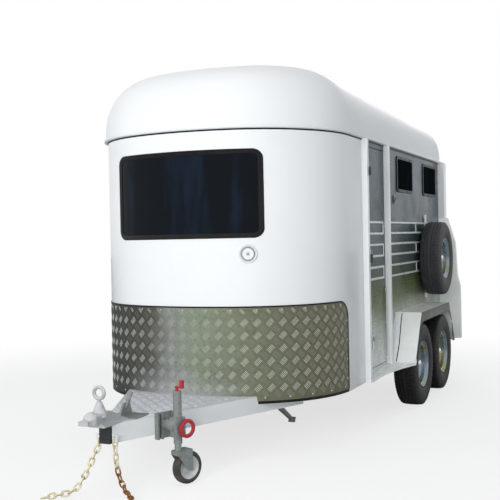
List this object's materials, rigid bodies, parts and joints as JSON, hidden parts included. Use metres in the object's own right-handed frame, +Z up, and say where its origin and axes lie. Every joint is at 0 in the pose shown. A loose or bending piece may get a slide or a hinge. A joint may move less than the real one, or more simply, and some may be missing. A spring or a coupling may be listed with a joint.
{
  "type": "two-horse trailer",
  "caption": "Tandem-axle horse trailer with a rounded nose, domed roof, groom doors, rear ramp and doors, spare wheel and jockey wheel.",
  "frame": {"origin": "on the ground, under the middle of the overall length and width", "axes": "+Z up, -Y towards the coupling, +X the trailer left side"},
  "size_m": [2.17, 4.9629, 2.5222],
  "materials": {
    "aluminium_sheet": "bright rolled sheet",
    "black_rubber": "matt",
    "black_steel": "satin",
    "cast_coupling": "zinc plated casting",
    "checker_plate": "five-bar tread plate, bright",
    "dark_acrylic": "gloss",
    "floor_board": "dark sealed board",
    "galvanised_steel": "galvanised, dull",
    "grey_padding": "grained vinyl",
    "grey_paint": "weathered",
    "hard_rubber": "satin",
    "lamp_lens": "clear and coloured lenses",
    "polished_aluminium": "polished",
    "red_paint": "gloss",
    "silver_paint": "satin",
    "silver_rim": "bright silver",
    "tyre_rubber": "matt",
    "white_gelcoat": "gloss",
    "white_paint": "gloss",
    "white_plastic": "satin",
    "yellow_zinc": "yellow zinc plate"
  },
  "bodies": {
    "trailer": {"axles": "galvanised_steel", "chassis_rails": "galvanised_steel", "chest_bars": "galvanised_steel", "coupling_head": "cast_coupling", "coupling_lever": "cast_coupling", "cross_members": "galvanised_steel", "deck_plate": "checker_plate", "drawbar_arms": "silver_paint", "drawbar_brace": "silver_paint", "drawbar_nose": "silver_paint", "drop_leg_hangers": "galvanised_steel", "floor": "floor_board", "front_window": "dark_acrylic", "front_window_seal": "black_rubber", "gutter_rail": "white_paint", "handbrake": "galvanised_steel", "jockey_bracket": "galvanised_steel", "leaf_springs": "black_steel", "mudguards": "polished_aluminium", "nose_panel": "white_gelcoat", "rear_frame": "white_paint", "rear_wings": "grey_paint", "roof": "white_gelcoat", "round_vent": "white_plastic", "safety_chain_left": "yellow_zinc", "safety_chain_right": "yellow_zinc", "side_posts": "white_paint", "side_wall_left": "aluminium_sheet", "side_wall_right": "aluminium_sheet", "side_window_frames": "black_rubber", "side_windows": "dark_acrylic", "spare_bracket": "silver_paint", "spare_rim": "silver_rim", "spare_tyre": "tyre_rubber", "stall_divider": "grey_padding", "stone_guard": "checker_plate", "tail_lamps": "lamp_lens", "tie_rings": "galvanised_steel"},
    "ramp": {"ramp": "aluminium_sheet", "ramp_mat": "black_rubber"},
    "barn_door_left": {"barn_door_left": "white_paint"},
    "barn_door_right": {"barn_door_right": "white_paint"},
    "groom_door_left": {"groom_door_left": "aluminium_sheet"},
    "groom_door_right": {"groom_door_right": "aluminium_sheet"},
    "wheel_front_left": {"tyre_front_left": "tyre_rubber", "rim_front_left": "silver_rim"},
    "wheel_front_right": {"tyre_front_right": "tyre_rubber", "rim_front_right": "silver_rim"},
    "wheel_rear_left": {"tyre_rear_left": "tyre_rubber", "rim_rear_left": "silver_rim"},
    "wheel_rear_right": {"tyre_rear_right": "tyre_rubber", "rim_rear_right": "silver_rim"},
    "jockey_post": {"jockey_tube": "galvanised_steel", "jockey_clamp_handle": "red_paint", "jockey_crank": "red_paint"},
    "jockey_leg": {"jockey_leg": "galvanised_steel"},
    "jockey_wheel": {"jockey_wheel": "hard_rubber"},
    "drop_leg_left": {"drop_leg_left": "galvanised_steel"},
    "drop_leg_right": {"drop_leg_right": "galvanised_steel"}
  },
  "joints": [
    {"name": "wheel_front_left_spin", "type": "hinge", "parent": "trailer", "child": "wheel_front_left", "pos_m": [0.9775, 0.7, 0.325], "axis": [1, 0, 0], "continuous": true},
    {"name": "wheel_front_right_spin", "type": "hinge", "parent": "trailer", "child": "wheel_front_right", "pos_m": [-0.9775, 0.7, 0.325], "axis": [1, 0, 0], "continuous": true},
    {"name": "wheel_rear_left_spin", "type": "hinge", "parent": "trailer", "child": "wheel_rear_left", "pos_m": [0.9775, 1.47, 0.325], "axis": [1, 0, 0], "continuous": true},
    {"name": "wheel_rear_right_spin", "type": "hinge", "parent": "trailer", "child": "wheel_rear_right", "pos_m": [-0.9775, 1.47, 0.325], "axis": [1, 0, 0], "continuous": true},
    {"name": "jockey_swing", "type": "hinge", "parent": "trailer", "child": "jockey_post", "pos_m": [0.29296, -1.971, 0.324], "axis": [0.9171, -0.3987, 0], "range_deg": [0, 90]},
    {"name": "jockey_slide", "type": "slide", "parent": "jockey_post", "child": "jockey_leg", "axis": [0, 0, 1], "range_m": [0, 0.028]},
    {"name": "jockey_roll", "type": "hinge", "parent": "jockey_leg", "child": "jockey_wheel", "pos_m": [0.31688, -1.91598, 0.092], "axis": [0.9171, -0.3987, 0], "continuous": true},
    {"name": "ramp_hinge", "type": "hinge", "parent": "trailer", "child": "ramp", "pos_m": [0, 2.458, 0.4], "axis": [-1, 0, 0], "range_deg": [0, 111]},
    {"name": "barn_left_hinge", "type": "hinge", "parent": "trailer", "child": "barn_door_left", "pos_m": [0.858, 2.448, 1.747], "axis": [0, 0, -1], "range_deg": [0, 180]},
    {"name": "barn_right_hinge", "type": "hinge", "parent": "trailer", "child": "barn_door_right", "pos_m": [-0.858, 2.448, 1.747], "axis": [0, 0, 1], "range_deg": [0, 180]},
    {"name": "groom_left_hinge", "type": "hinge", "parent": "trailer", "child": "groom_door_left", "pos_m": [0.918, -0.237, 1.195], "axis": [0, 0, -1], "range_deg": [0, 170]},
    {"name": "groom_right_hinge", "type": "hinge", "parent": "trailer", "child": "groom_door_right", "pos_m": [-0.918, -0.237, 1.195], "axis": [0, 0, 1], "range_deg": [0, 170]},
    {"name": "drop_leg_left_hinge", "type": "hinge", "parent": "trailer", "child": "drop_leg_left", "pos_m": [0.48, -0.955, 0.262], "axis": [-1, 0, 0], "range_deg": [-30, 32]},
    {"name": "drop_leg_right_hinge", "type": "hinge", "parent": "trailer", "child": "drop_leg_right", "pos_m": [-0.48, -0.955, 0.262], "axis": [-1, 0, 0], "range_deg": [-30, 32]}
  ]
}
